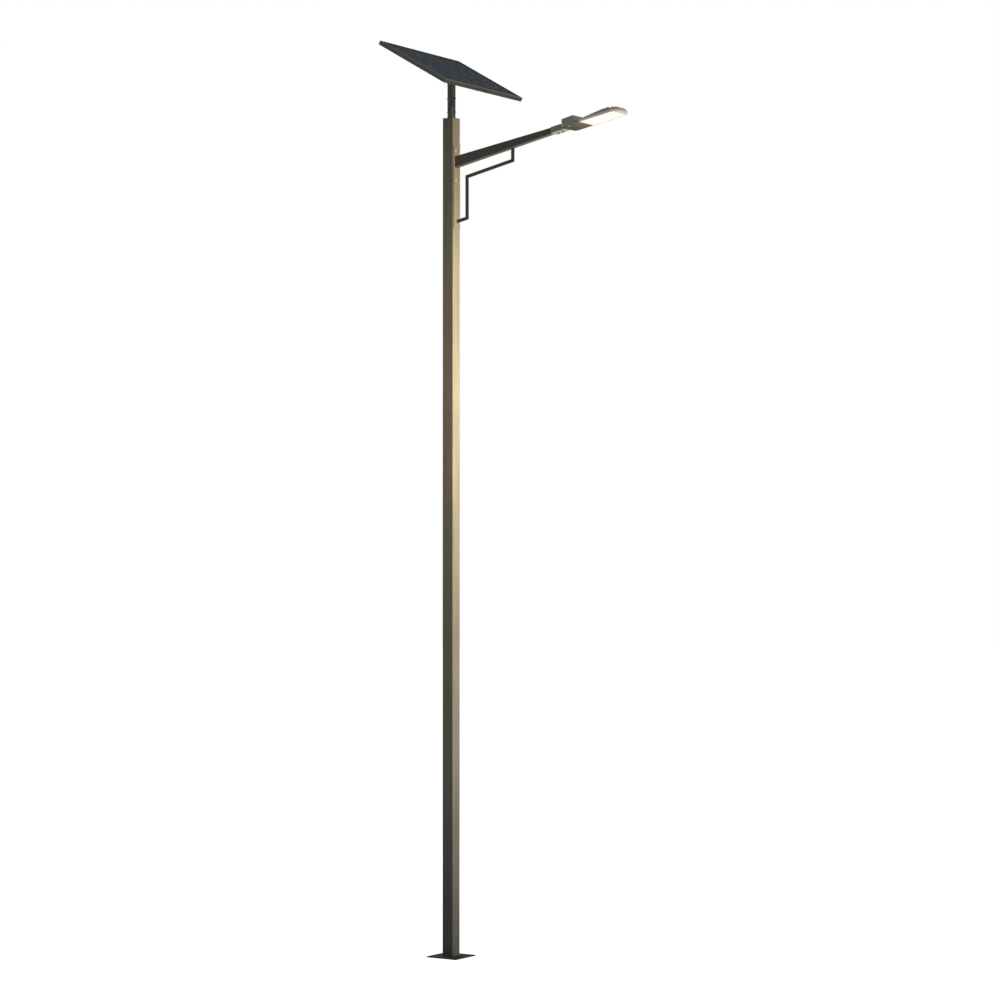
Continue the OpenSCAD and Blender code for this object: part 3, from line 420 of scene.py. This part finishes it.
def tinned_ribbon():
    """Dull tinned copper that joins the cells."""
    shader = Shader("ribbon", (0.13, 0.14, 0.15), rough=0.55, Specular_IOR_Level=0.1)
    solder = shader.between(shader.noise(shader.place(), scale=130, detail=4), 0.3, 0.7)
    shader.paint(shader.blend(solder, (0.11, 0.12, 0.13, 1), (0.16, 0.17, 0.18, 1)))
    shader.roughen(solder, swing=0.06)
    shader.bump(solder, strength=0.1, depth=0.02 * MM)
    return shader.material


def solar_glass():
    """Low-iron cover glass, nearly clear, with dust that gathers in patches and rain runs."""
    clean_alpha, dusty_alpha = 0.03, 0.07

    shader = Shader("panel_glass", (0.16, 0.17, 0.18), rough=0.22, Alpha=0.05, Specular_IOR_Level=0.03)
    place = shader.place(turn=PANEL_TURN)
    dust = shader.between(shader.noise(place, scale=7, detail=6), 0.35, 0.75)
    runs = shader.noise(shader.place((2, 40, 2), PANEL_TURN), scale=1.0, detail=4)
    film = shader.math("MULTIPLY", dust, shader.between(runs, 0.3, 0.7, 0.5, 1.0))
    shader.paint(shader.blend(film, (0.10, 0.12, 0.15, 1), (0.16, 0.17, 0.18, 1)))
    shader.link(shader.between(film, 0.0, 1.0, clean_alpha, dusty_alpha), shader.bsdf.inputs["Alpha"])
    shader.roughen(dust, swing=0.08)
    shader.bump(shader.noise(place, scale=12, detail=2), strength=0.05, depth=0.10 * MM)
    return shader.material


def back_film():
    """Film behind the cells: paler between them than in the margin round the field."""
    under_cells = 3 * MM

    shader = Shader("backsheet", (0.26, 0.28, 0.31), rough=0.55)
    place = shader.place(turn=PANEL_TURN)
    weave = shader.noise(shader.place((900, 900, 900)), scale=1.0, detail=2)
    down = Vector((math.cos(PANEL_TILT), 0, -math.sin(PANEL_TILT)))
    low, high = reach("solar_cells", down)
    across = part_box("solar_cells")[1].y
    from_middle = shader.math("SUBTRACT", shader.axis(place, "X"), (low + high) / 2)
    off_slope = shader.math("ABSOLUTE", from_middle)
    off_middle = shader.math("ABSOLUTE", shader.axis(place, "Y"))
    slope_edge = shader.math("GREATER_THAN", off_slope, (high - low) / 2 - under_cells)
    side_edge = shader.math("GREATER_THAN", off_middle, across - under_cells)
    outside = shader.math("MAXIMUM", slope_edge, side_edge)
    cloud = shader.between(shader.noise(place, scale=6, detail=3), 0.3, 0.7)
    light = shader.blend(cloud, (0.14, 0.155, 0.175, 1), (0.18, 0.195, 0.215, 1))
    shader.paint(shader.blend(outside, light, (0.040, 0.046, 0.055, 1)))
    shader.roughen(weave, swing=0.06)
    shader.bump(weave, strength=0.15, depth=0.03 * MM)
    return shader.material


def shrink_wrap():
    """Blue heat-shrunk sleeve, wrinkled along its length."""
    shader = Shader("battery_wrap", (0.05, 0.17, 0.33), rough=0.28, Coat_Weight=0.4)
    place = shader.place(turn=LAMP_TURN)
    wrinkle = shader.noise(shader.place((60, 300, 300), LAMP_TURN), scale=1.0, detail=3)
    stretched = shader.between(wrinkle, 0.35, 0.65)
    shader.paint(shader.blend(stretched, (0.04, 0.14, 0.28, 1), (0.06, 0.20, 0.38, 1)))
    shader.roughen(shader.noise(place, scale=80, detail=3), swing=0.06)
    shader.bump(wrinkle, strength=0.3, depth=0.12 * MM)
    return shader.material


def potted_case():
    """Brushed aluminium case of the charge controller."""
    shader = Shader("controller", (0.42, 0.43, 0.44), rough=0.38, Metallic=0.9)
    grain = shader.noise(shader.place((40, 900, 900), LAMP_TURN), scale=1.0, detail=3)
    shader.paint(shader.blend(grain, (0.36, 0.37, 0.38, 1), (0.50, 0.51, 0.52, 1)))
    shader.roughen(grain, swing=0.08)
    shader.bump(grain, strength=0.2, depth=0.04 * MM)
    return shader.material


def circuit_board():
    """White solder mask over raised copper tracks."""
    shader = Shader("board", (0.78, 0.78, 0.75), rough=0.3, Coat_Weight=0.3)
    bricks = shader.node("TexBrick")
    bricks.inputs["Scale"].default_value = 30
    bricks.inputs["Mortar Size"].default_value = 0.03
    shader.link(shader.place(turn=LAMP_TURN), bricks.inputs["Vector"])
    shader.paint(shader.blend(bricks.outputs["Fac"], (0.80, 0.80, 0.77, 1), (0.60, 0.61, 0.56, 1)))
    shader.bump(bricks.outputs["Fac"], strength=0.4, depth=0.05 * MM)
    shader.roughen(shader.noise(shader.place(), scale=200, detail=2), swing=0.05)
    return shader.material


def phosphor():
    """Lit yellow phosphor of the emitters."""
    shader = Shader("emitter", (0.85, 0.62, 0.20), rough=0.4,
                    Emission_Color=(1, 0.82, 0.52, 1), Emission_Strength=6.0)
    grain = shader.noise(shader.place(), scale=1500, detail=2)
    shader.paint(shader.blend(grain, (0.80, 0.56, 0.16, 1), (0.92, 0.70, 0.26, 1)))
    shader.roughen(grain, swing=0.05)
    shader.bump(grain, strength=0.1, depth=0.02 * MM)
    return shader.material


def clear_optic():
    """Moulded acrylic of the lenses."""
    shader = Shader("optic", (0.92, 0.94, 0.95), rough=0.06, Transmission_Weight=0.9, IOR=1.49)
    place = shader.place()
    flow = shader.noise(place, scale=40, detail=3)
    shader.paint(shader.blend(flow, (0.88, 0.91, 0.92, 1), (0.96, 0.97, 0.97, 1)))
    shader.roughen(flow, swing=0.02)
    shader.bump(flow, strength=0.05, depth=0.05 * MM)
    return shader.material


def near_emitter(shader, place):
    """1 in front of an emitter of the board, 0 midway between two of them."""
    brightest_spot = 2 * MM

    rear, front = reach("led_chips", LAMP_ALONG)
    left, right = reach("led_chips", LAMP_ACROSS)
    row_pitch = (front - rear - LED_SIZE) / (LED_ROWS - 1)
    column_pitch = (right - left - LED_SIZE) / (LED_COLUMNS - 1)
    from_row = shader.math("SUBTRACT", shader.axis(place, "X"), rear + LED_SIZE / 2)
    from_column = shader.math("SUBTRACT", shader.axis(place, "Y"), left + LED_SIZE / 2)
    off_row = shader.math("PINGPONG", from_row, row_pitch / 2)
    off_column = shader.math("PINGPONG", from_column, column_pitch / 2)
    squares = shader.math("ADD", shader.math("MULTIPLY", off_row, off_row),
                          shader.math("MULTIPLY", off_column, off_column))
    return shader.between(shader.math("SQRT", squares), brightest_spot, row_pitch / 2, 1.0, 0.0)


def glowing_glass():
    """Diffusing glass: near white in the middle, creamy towards its rim, brighter below each emitter."""
    middle_light = (1.0, 0.99, 0.90, 1)
    rim_light = (1.0, 0.92, 0.72, 1)
    dimmest, brightest = 0.92, 1.04

    shader = Shader("lamp_glass", (0.06, 0.058, 0.05), rough=0.24)
    place = shader.place(turn=LAMP_TURN)
    rear, front = reach("lamp_glass", LAMP_ALONG)
    half_length = (front - rear) / 2
    half_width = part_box("lamp_glass")[1].y
    along = shader.math("SUBTRACT", shader.axis(place, "X"), rear + half_length)
    from_middle = shader.math("ABSOLUTE", along)
    from_line = shader.math("ABSOLUTE", shader.axis(place, "Y"))
    ends = shader.between(from_middle, half_length * 0.55, half_length)
    sides = shader.between(from_line, half_width * 0.60, half_width)
    rim = shader.math("MAXIMUM", ends, sides)
    spots = near_emitter(shader, place)
    light = shader.blend(rim, middle_light, rim_light)
    shader.link(light, shader.bsdf.inputs["Emission Color"])
    shader.link(shader.between(spots, 0.0, 1.0, dimmest, brightest), shader.bsdf.inputs["Emission Strength"])
    shader.paint(shader.blend(spots, (0.05, 0.048, 0.04, 1), (0.07, 0.068, 0.06, 1)))
    shader.roughen(shader.noise(place, scale=150, detail=3), swing=0.05)
    shader.bump(shader.noise(place, scale=700, detail=2), strength=0.08, depth=0.04 * MM)
    return shader.material


def make_finishes():
    """One material for each of the record's slots, and a few more for the nodes in OWN_FINISH."""
    along_long_rails = (900, 3, 900)
    along_short_rails = (3, 900, 900)
    return {
        "bronze_paint": powder_coat("bronze_paint", BRONZE, rough=0.48, darker_foot=True),
        # Near-black copy of the bronze paint for the base plate: painted shade where no light falls on the
        # plate
        "base_painted_shade": powder_coat("base_painted_shade", (0.011, 0.011, 0.010), rough=0.70, wear=0.12),
        "mast_paint": powder_coat("mast_paint", (0.080, 0.074, 0.062), rough=0.30, streak=0.10),
        "frame_anodised": anodised("frame_anodised", (0.055, 0.053, 0.046), along_long_rails),
        # Lighter copy of the frame's anodising for the short rails: painted light on that side of the frame
        "frame_anodised_painted_light": anodised("frame_anodised_painted_light", (0.105, 0.101, 0.090), along_short_rails),
        "lamp_casting": powder_coat("lamp_casting", LAMP_GREY, rough=0.50, streak=0.07, wear=0.35),
        # Lighter, warmer copy of the lamp paint for the heat sink and bezel, with painted lamp light and a
        # painted glow
        "lamp_front_painted_light": powder_coat("lamp_front_painted_light", (0.25, 0.23, 0.20), rough=0.50, streak=0.07, wear=0.35,
                                  painted_light_and_shade=painted_lamp_light_and_glow),
        # The service cover's paint takes painted light near the window and painted shade towards the arm
        "cover_casting": powder_coat("cover_casting", (0.034, 0.031, 0.023), rough=0.46, wear=0.25,
                                     painted_light_and_shade=painted_window_light_and_shade),
        "zinc": galvanised(),
        "bright_zinc": bright_zinc("bright_zinc", (0.17, 0.16, 0.13)),
        "latch_zinc": bright_zinc("latch_zinc", (0.54, 0.50, 0.41)),
        "stainless": stainless(),
        "rubber": moulded("rubber", (0.016, 0.016, 0.017), rough=0.78, grain_scale=900),
        "black_plastic": moulded("black_plastic", (0.026, 0.027, 0.030), rough=0.46, grain_scale=1300),
        "panel_glass": solar_glass(),
        "cell": silicon_cell(),
        "ribbon": tinned_ribbon(),
        "backsheet": back_film(),
        "battery_wrap": shrink_wrap(),
        "controller": potted_case(),
        "board": circuit_board(),
        "emitter": phosphor(),
        "optic": clear_optic(),
        "lamp_glass": glowing_glass(),
    }


FINISHES = make_finishes()
SLOTS = {part["node"]: part["material_slot"] for part in frame["record"]["subparts"]}

# Nodes that look different from the rest of their slot: the base plate's finish is painted shade, and the
# short rails' and the lamp front's finishes hold painted light
OWN_FINISH = {
    "frame_short_rails": "frame_anodised_painted_light",
    "base_plate": "base_painted_shade",
    "heat_sink": "lamp_front_painted_light",
    "lamp_bezel": "lamp_front_painted_light",
    "arm_plate_bolts": "bright_zinc",
    "cover_latch": "latch_zinc",
    "cell_ribbons": "ribbon",
    "fitter_clamp_screws": "lamp_casting",
}


def finish_of(node):
    return FINISHES[OWN_FINISH.get(node, SLOTS[node])]


def dress(obj, material):
    obj.data.materials.clear()
    obj.data.materials.append(material)


for node, obj in frame["nodes"].items():
    dress(obj, finish_of(node))

# ---------------------------------------------------------------- castings and sections with rounded edges

BODY_OF = {node: body for body, nodes in frame["record"]["behaviour"]["bodies"].items() for node in nodes}


def add_piece(name, mesh, body):
    """A visual piece that rides on a body of the frame, under one of the record's slots."""
    piece = bpy.data.objects.new(name, mesh)
    bpy.context.scene.collection.objects.link(piece)
    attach(piece, body)
    return piece


def smooth_faces(mesh, sharp=math.radians(32)):
    for polygon in mesh.polygons:
        polygon.use_smooth = True
    mesh.set_sharp_from_angle(angle=sharp)


def round_edges(node, radius, shortest=14 * MM, sharp=math.radians(28)):
    """Stands for a CAD node with the same shape, its long sharp edges rounded off."""
    same_point = 0.01 * MM
    same_plane = math.radians(0.5)
    large_faces_win = 100

    shape = bmesh.new()
    shape.from_mesh(frame["nodes"][node].data)
    bmesh.ops.remove_doubles(shape, verts=shape.verts, dist=same_point)
    bmesh.ops.dissolve_limit(shape, angle_limit=same_plane, verts=shape.verts, edges=shape.edges)
    long_edges = [edge for edge in shape.edges if len(edge.link_faces) == 2
                  and edge.calc_length() > shortest and edge.calc_face_angle(0) > sharp]
    bmesh.ops.bevel(shape, geom=long_edges, offset=radius, offset_type="OFFSET", segments=3, profile=0.5,
                    affect="EDGES", clamp_overlap=False)
    mesh = bpy.data.meshes.new(node + "_rounded")
    shape.to_mesh(mesh)
    shape.free()
    smooth_faces(mesh)
    piece = add_piece(node + "_rounded", mesh, BODY_OF[node])
    flat_faces_first = piece.modifiers.new("weighted_normals", "WEIGHTED_NORMAL")
    flat_faces_first.keep_sharp = True
    flat_faces_first.weight = large_faces_win
    dress(piece, finish_of(node))
    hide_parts(node)


# Radii in millimetres
EDGE_RADII = {
    "base_plate": 1.2,
    "arm_plate": 0.9,
    "arm_beam": 2.2,
    "arm_brace": 1.2,
    "slip_fitter": 1.5,
    "gear_housing": 1.4,
    "heat_sink": 0.7,
    "lamp_bezel": 0.7,
    "service_cover": 0.8,
    "frame_long_rails": 0.5,
    "frame_short_rails": 0.5,
    "junction_box": 1.0,
    "tilt_saddle": 1.0,
    "mast_ears": 1.0,
    "cross_rails": 0.6,
}

for node, radius in EDGE_RADII.items():
    round_edges(node, radius * MM)

# ---------------------------------------------------------------- weld beads, and a dark bead of painted shade


def bead_rings(points, closed, step):
    """Points every step along a run of straight lines, each with the run's direction there."""
    ends = points + [points[0]] if closed else points
    rings = []
    for start, end in zip(ends, ends[1:]):
        run = end - start
        count = max(2, round(run.length / step))
        for i in range(count):
            rings.append((start + run * i / count, run.normalized()))
    if not closed:
        rings.append((points[-1], (points[-1] - points[-2]).normalized()))
    return rings


def weld(name, body, points, radius, closed=True, ripple=0.16, slot="bronze_paint", finish=None):
    """A bead along a seam: a thin rod that swells a little at every ripple, or a plain one without ripple."""
    sides = 10
    per_ripple = 4
    ripple_length = radius * 0.9
    plain_step = 4 * MM
    off_every_seam = Vector((0.31, 0.52, 0.79))

    step = ripple_length / per_ripple if ripple else plain_step
    shape = bmesh.new()
    loops = []
    for i, (centre, along) in enumerate(bead_rings(points, closed, step)):
        side = along.cross(off_every_seam).normalized()
        up = along.cross(side)
        swell = radius * (1 + ripple * abs(math.sin(math.pi * i / per_ripple)))
        loops.append([shape.verts.new(centre + (side * math.cos(a) + up * math.sin(a)) * swell)
                      for a in (2 * math.pi * k / sides for k in range(sides))])
    pairs = zip(loops, loops[1:] + loops[:1]) if closed else zip(loops, loops[1:])
    for one, two in pairs:
        for k in range(sides):
            shape.faces.new((one[k], one[k - 1], two[k - 1], two[k]))
    if not closed:
        shape.faces.new(loops[0])
        shape.faces.new(loops[-1])
    bmesh.ops.recalc_face_normals(shape, faces=shape.faces)
    mesh = bpy.data.meshes.new(name)
    shape.to_mesh(mesh)
    shape.free()
    smooth_faces(mesh, math.radians(60))
    dress(add_piece(name, mesh, body), FINISHES[finish or slot])


def rectangle(centre, half_a, half_b):
    """Corners of a rectangle about a centre, from its two half-side vectors."""
    return [centre + half_a * along_a + half_b * along_b
            for along_a, along_b in ((-1, -1), (1, -1), (1, 1), (-1, 1))]


def slice_box(node, axis, low_end=True, depth=0.1 * MM):
    """Box of a CAD node's vertices within a depth of its low or high end along one axis."""
    low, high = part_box(node)
    end = low[axis] if low_end else high[axis]
    found = [v.co for v in frame["nodes"][node].data.vertices if abs(v.co[axis] - end) < depth]
    return (Vector([min(co[k] for co in found) for k in range(3)]),
            Vector([max(co[k] for co in found) for k in range(3)]))


def seam_round(name, node, axis, radius, **options):
    """A bead round the low end of a section with four sides, where it stands on another part."""
    low, high = slice_box(node, axis)
    half = (high - low) / 2
    a, b = [Vector([half[k] if k == j else 0 for k in range(3)]) for j in range(3) if j != axis]
    weld(name, "pole", rectangle((low + high) / 2, a, b), radius, **options)


def circle_points(centre, radius, count=48):
    """Points of a level circle."""
    return [centre + Vector((math.cos(a), math.sin(a), 0)) * radius
            for a in (2 * math.pi * k / count for k in range(count))]


def weld_brace_top(radius):
    """Two beads where the brace's upper end meets the underside of the arm."""
    top_depth = 12 * MM
    below_arm = Vector((0, 0, -2 * MM))
    low, high = slice_box("arm_brace", ALONG_Z, False, top_depth)
    rise = (high.x - low.x) * math.tan(ARM_PITCH)
    for side, y in (("near", low.y), ("far", high.y)):
        start = Vector((low.x, y, high.z - rise)) + below_arm
        end = Vector((high.x, y, high.z)) + below_arm
        weld("brace_top_weld_" + side, "pole", [start, end], radius, closed=False)


def weld_mast_head(radius):
    """A bead under the rim of the round plate on the mast."""
    low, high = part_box("mast_head_plate")
    ring = (high.x - low.x) / 2 - radius / 2
    weld("mast_head_weld", "mast", circle_points(Vector((0, 0, low.z)), ring), radius, slot="mast_paint")


# The foot weld takes the base plate's painted shade
seam_round("foot_weld", "pole_shaft", ALONG_Z, radius=3.2 * MM, finish="base_painted_shade")
seam_round("arm_root_weld", "arm_beam", ALONG_X, radius=2.8 * MM)
# A thin black bead round the arm plate: painted shade where the plate meets the pole
seam_round("arm_plate_shade_bead", "arm_plate", ALONG_X, radius=1.6 * MM, ripple=0.0, slot="rubber")
seam_round("brace_foot_weld", "arm_brace", ALONG_X, radius=2.0 * MM)
weld_brace_top(radius=1.8 * MM)
weld_mast_head(radius=1.6 * MM)

# ---------------------------------------------------------------- studio

WARM_LIGHT = (1.0, 0.86, 0.60)
DAYLIGHT = (1.0, 0.99, 0.96)
COOL_LIGHT = (0.95, 0.97, 1.0)
PALE_LIGHT = (1.0, 0.97, 0.92)
SKY_COLOR = (0.94, 0.97, 1.0, 1)
SKY_STRENGTH = 0.36
FLOOR_RADIUS = 60.0
BACKDROP_RADIUS = FLOOR_RADIUS * 1.02


def add_light(name, kind, place, aim, power, color, size):
    """An area light with a width and height in metres, or a sun with an angle across."""
    light = bpy.data.lights.new(name, kind)
    light.energy = power
    light.color = color
    if kind == "AREA":
        light.shape = "RECTANGLE"
        light.size, light.size_y = size
    else:
        light.angle = size
    lamp = bpy.data.objects.new(name, light)
    lamp.location = place
    lamp.rotation_euler = (Vector(aim) - Vector(place)).to_track_quat("-Z", "Y").to_euler()
    lamp.visible_camera = False
    bpy.context.scene.collection.objects.link(lamp)
    return lamp


def plain_surface(name, mesh, material):
    """A floor or backdrop that the camera sees, and that neither lights nor shades the lamp."""
    surface = bpy.data.objects.new(name, mesh)
    dress(surface, material)
    surface.visible_diffuse = False
    surface.visible_glossy = False
    surface.visible_shadow = False
    surface.visible_transmission = False
    bpy.context.scene.collection.objects.link(surface)
    return surface


# Starts of the names of the pieces that the pole's own lights reach
LIT_ALONG_POLE = ("pole_shaft", "arm_plate", "brace_foot_weld", "foot_weld")


def light_only(lamp, pieces):
    """Keeps a light to some pieces, and lets only the pole's shaft shade it."""
    chosen = bpy.data.collections.new("lit_by_" + lamp.name)
    for piece in pieces:
        chosen.objects.link(piece)
    lamp.light_linking.receiver_collection = chosen
    blockers = bpy.data.collections.new("shading_" + lamp.name)
    for piece in pieces:
        if piece.name.startswith("pole_shaft"):
            blockers.objects.link(piece)
    lamp.light_linking.blocker_collection = blockers


def glowing_white(name, color, rough, strength):
    """A matt surface that also gives off white light."""
    shader = Shader(name, color, rough, Specular_IOR_Level=0.0,
                    Emission_Color=(1, 1, 1, 1), Emission_Strength=strength)
    return shader.material


def make_floor():
    """White ground just below the base plate, with a glow that leaves only a faint shadow on it."""
    disc = bmesh.new()
    bmesh.ops.create_circle(disc, cap_ends=True, segments=96, radius=FLOOR_RADIUS)
    mesh = bpy.data.meshes.new("floor")
    disc.to_mesh(mesh)
    disc.free()
    floor = plain_surface("floor", mesh, glowing_white("floor", (0.80, 0.80, 0.79), rough=0.9, strength=0.78))
    floor.location.z = -0.5 * MM


def make_backdrop():
    """White ball round everything."""
    ball = bmesh.new()
    bmesh.ops.create_uvsphere(ball, u_segments=48, v_segments=24, radius=BACKDROP_RADIUS)
    mesh = bpy.data.meshes.new("backdrop")
    ball.to_mesh(mesh)
    ball.free()
    plain_surface("backdrop", mesh, glowing_white("backdrop", (0, 0, 0), rough=1.0, strength=1.0))


def make_sky():
    """Even light from all round."""
    world = bpy.data.worlds.new("studio")
    world.use_nodes = True
    background = world.node_tree.nodes["Background"]
    background.inputs["Color"].default_value = SKY_COLOR
    background.inputs["Strength"].default_value = SKY_STRENGTH
    bpy.context.scene.world = world


def light_pole(name, height, power, color, size):
    """A light beside the pole, on its arm side, kept to the pieces of LIT_ALONG_POLE."""
    off_pole = 1.9
    off_middle = -0.25
    place = Vector((off_pole, off_middle, height))
    lamp = add_light(name, "AREA", place, place + Vector((-1, 0, 0)), power, color, size)
    lamp.visible_glossy = False
    light_only(lamp, [piece for piece in bpy.context.scene.objects if piece.name.startswith(LIT_ALONG_POLE)])


def make_lights():
    """A warm spill part of the way up the pole, a low wash along it, and three lights for everything."""
    light_pole("spill", height=4.05, power=455, color=WARM_LIGHT, size=(0.4, 0.4))
    light_pole("wash", height=1.25, power=92, color=PALE_LIGHT, size=(0.3, 2.5))
    add_light("key", "SUN", place=(6, -1, 2.4), aim=(0, 0, 0),
              power=1.2, color=DAYLIGHT, size=math.radians(20))
    add_light("bounce", "SUN", place=(0.3, 0.1, -2), aim=(0, 0, 0),
              power=5.6, color=WARM_LIGHT, size=math.radians(25))
    add_light("back", "AREA", place=(-8.0, 3.0, 6.0), aim=(0, 0, 3.5),
              power=260, color=COOL_LIGHT, size=(4, 4))


make_sky()
make_floor()
make_backdrop()
make_lights()

bpy.context.scene.view_settings.view_transform = "Standard"
bpy.context.view_layer.update()
